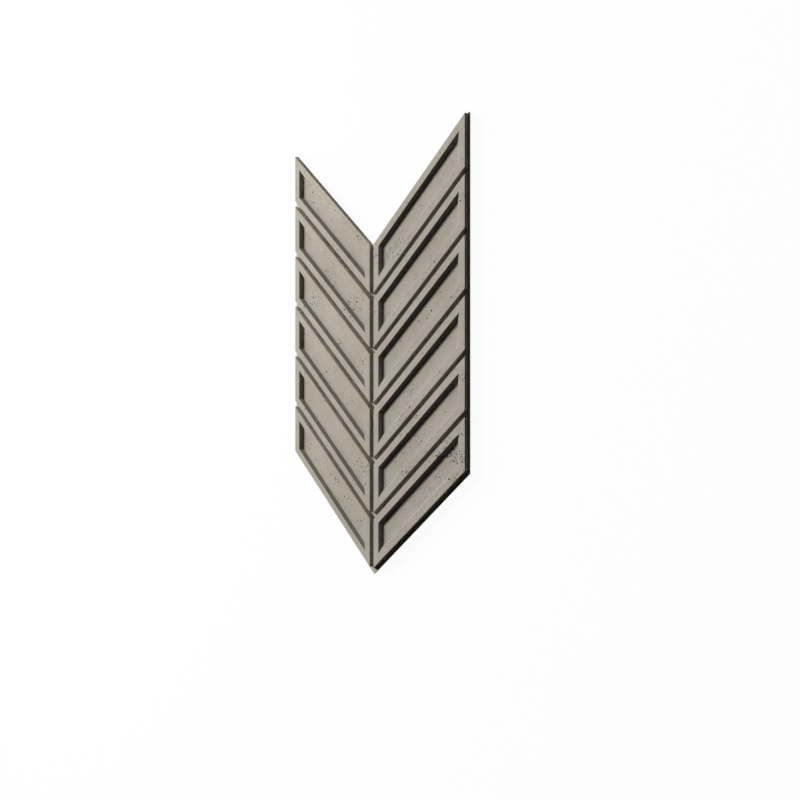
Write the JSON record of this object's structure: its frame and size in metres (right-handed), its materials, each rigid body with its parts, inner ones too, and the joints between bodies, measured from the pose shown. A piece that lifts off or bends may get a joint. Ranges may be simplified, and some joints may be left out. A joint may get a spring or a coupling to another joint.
{
  "type": "concrete wall panel",
  "caption": "Chevron-shaped cast concrete wall panel with slanted raised fields, open joints between them and a shallow tray in each field.",
  "frame": {"origin": "middle of the panel's bounding box, on its back face", "axes": "+X across the panel to the right as seen from the front, +Y up the wall, +Z out of the wall through the front face"},
  "size_m": [0.6, 1.1774, 0.016],
  "materials": {
    "concrete": "matt cast concrete with small air pores"
  },
  "bodies": {
    "root": {"wall_panel": "concrete"}
  },
  "joints": []
}
